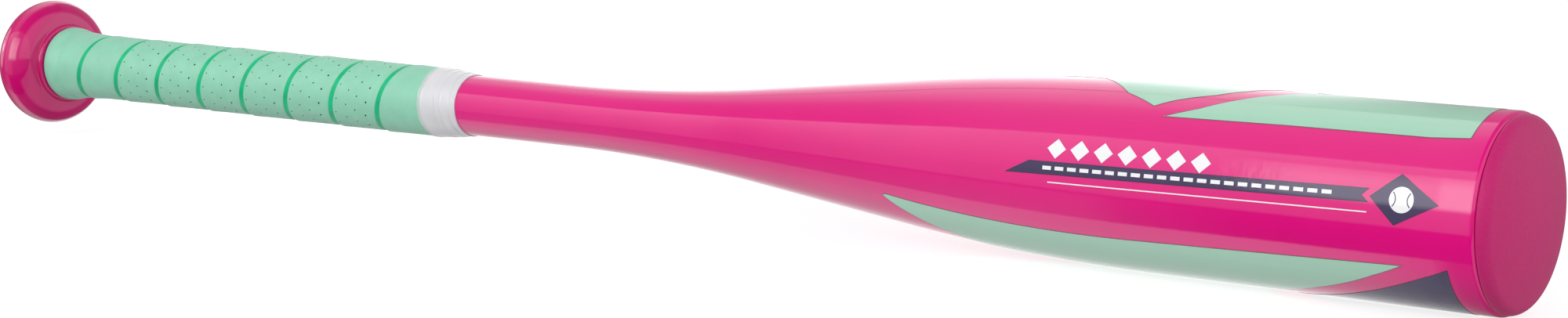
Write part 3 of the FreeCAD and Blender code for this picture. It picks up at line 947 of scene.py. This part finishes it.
def eased_map(nodes, links, value, start, end, low, high):
    """A value that eases from low to high as the input goes from start to end."""
    node = nodes.new("ShaderNodeMapRange")
    node.interpolation_type = "SMOOTHSTEP"
    node.inputs["From Min"].default_value = start
    node.inputs["From Max"].default_value = end
    node.inputs["To Min"].default_value = low
    node.inputs["To Max"].default_value = high
    links.new(value, node.inputs["Value"])
    return node.outputs["Result"]


def combine(nodes, links, operation, a, b):
    node = nodes.new("ShaderNodeMath")
    node.operation = operation
    for i, v in enumerate((a, b)):
        if isinstance(v, float):
            node.inputs[i].default_value = v
        else:
            links.new(v, node.inputs[i])
    return node.outputs["Value"]


def brightness(nodes, links, turn, stops):
    """Brightness over the direction round the bat, from (degrees, brightness) stops."""
    ramp = nodes.new("ShaderNodeValToRGB")
    band = ramp.color_ramp
    for i, (degrees, value) in enumerate(stops):
        spot = (degrees + 180) / 360
        stop = band.elements[i] if i < 2 else band.elements.new(spot)
        stop.position = spot
        stop.color = grey(value / BRIGHTEST)
    links.new(turn, ramp.inputs["Fac"])
    return combine(nodes, links, "MULTIPLY", ramp.outputs["Color"], BRIGHTEST)


def make_world():
    """Soft studio light: strips along the bat, a key light in front, and lights beyond the knob and the cap.

    The camera itself sees plain white.
    """
    world = bpy.data.worlds.new("studio")
    bpy.context.scene.world = world
    world.use_nodes = True
    nodes = world.node_tree.nodes
    links = world.node_tree.links
    nodes.clear()
    where = nodes.new("ShaderNodeTexCoord").outputs["Generated"]
    split = nodes.new("ShaderNodeSeparateXYZ")
    links.new(where, split.inputs["Vector"])
    along = split.outputs["X"]
    front = combine(nodes, links, "MULTIPLY", split.outputs["Y"], -1.0)
    angle = combine(nodes, links, "ARCTAN2", split.outputs["Z"], front)
    turn = nodes.new("ShaderNodeMapRange")
    turn.inputs["From Min"].default_value = -math.pi
    turn.inputs["From Max"].default_value = math.pi
    links.new(angle, turn.inputs["Value"])
    total = 0.0
    for stops, *fades in LIGHTS:
        light = brightness(nodes, links, turn.outputs["Result"], stops)
        for fade in fades:
            light = combine(nodes, links, "MULTIPLY", light, eased_map(nodes, links, along, *fade))
        total = combine(nodes, links, "ADD", light, total)
    toward = nodes.new("ShaderNodeVectorMath")
    toward.operation = "DOT_PRODUCT"
    toward.inputs[1].default_value = Vector(SIDE_LIGHT).normalized()
    links.new(where, toward.inputs[0])
    side = eased_map(nodes, links, toward.outputs["Value"], *SIDE_EDGE)
    hot = eased_map(nodes, links, toward.outputs["Value"], *SIDE_CORE)
    total = combine(nodes, links, "ADD", total, combine(nodes, links, "ADD", side, hot))
    light = nodes.new("ShaderNodeBackground")
    links.new(total, light.inputs["Strength"])
    light.inputs["Color"].default_value = grey(1.0)
    plain = nodes.new("ShaderNodeBackground")
    plain.inputs["Color"].default_value = grey(1.0)
    path = nodes.new("ShaderNodeLightPath")
    mix = nodes.new("ShaderNodeMixShader")
    out = nodes.new("ShaderNodeOutputWorld")
    links.new(path.outputs["Is Camera Ray"], mix.inputs["Fac"])
    links.new(light.outputs["Background"], mix.inputs[1])
    links.new(plain.outputs["Background"], mix.inputs[2])
    links.new(mix.outputs["Shader"], out.inputs["Surface"])


def quad(name, x0, x1, y0, y1, z, material):
    mesh = bpy.data.meshes.new(name)
    mesh.from_pydata([(x0, y0, z), (x1, y0, z), (x1, y1, z), (x0, y1, z)], [], [(0, 1, 2, 3)])
    mesh.materials.append(material)
    obj = bpy.data.objects.new(name, mesh)
    bpy.context.scene.collection.objects.link(obj)
    obj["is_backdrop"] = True
    return obj


def make_stage():
    """A plain pale floor under the bat. Only the camera sees it, so it doesn't hide the low lights."""
    m, _, _, s = new_material("pale_floor")
    s.inputs["Base Color"].default_value = grey(0.4)
    s.inputs["Roughness"].default_value = 0.9
    s.inputs["Specular IOR Level"].default_value = 0.0
    s.inputs["Emission Color"].default_value = grey(1.0)
    s.inputs["Emission Strength"].default_value = 0.78
    floor = quad("floor", -14, 14, -14, 14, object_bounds()[0].z - 0.0002, m)
    floor.visible_diffuse = False
    floor.visible_glossy = False
    floor.visible_shadow = False
    floor.visible_transmission = False


def make_camera():
    """The camera, beyond the cap and in front of the bat, turned back towards the knob and a little down."""
    turned = 37.06
    down = 8.40
    data = bpy.data.cameras.new("camera")
    data.sensor_width = 36.0
    data.lens = 66.5
    data.clip_start = 0.01
    data.clip_end = 100.0
    cam = bpy.data.objects.new("camera", data)
    cam.location = (0.9372, -0.7445, 0.1308)
    cam.rotation_euler = (math.radians(90 - down), 0, math.radians(turned))
    bpy.context.scene.collection.objects.link(cam)
    bpy.context.scene.camera = cam


def dress_hidden():
    """Finishes for the CAD nodes that stay as they are."""
    finishes = {"knob_weld": weld_metal, "end_cap_adhesive": adhesive, "grip_backing": backing}
    for node, material in finishes.items():
        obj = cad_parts[node]
        for i in range(len(obj.material_slots)):
            obj.material_slots[i].material = material


make_tube()
make_cap()
make_knob()
make_grip()
make_band()
make_tape()
make_films()
dress_hidden()
make_world()
make_stage()
make_camera()
bpy.context.scene.view_settings.view_transform = "Standard"
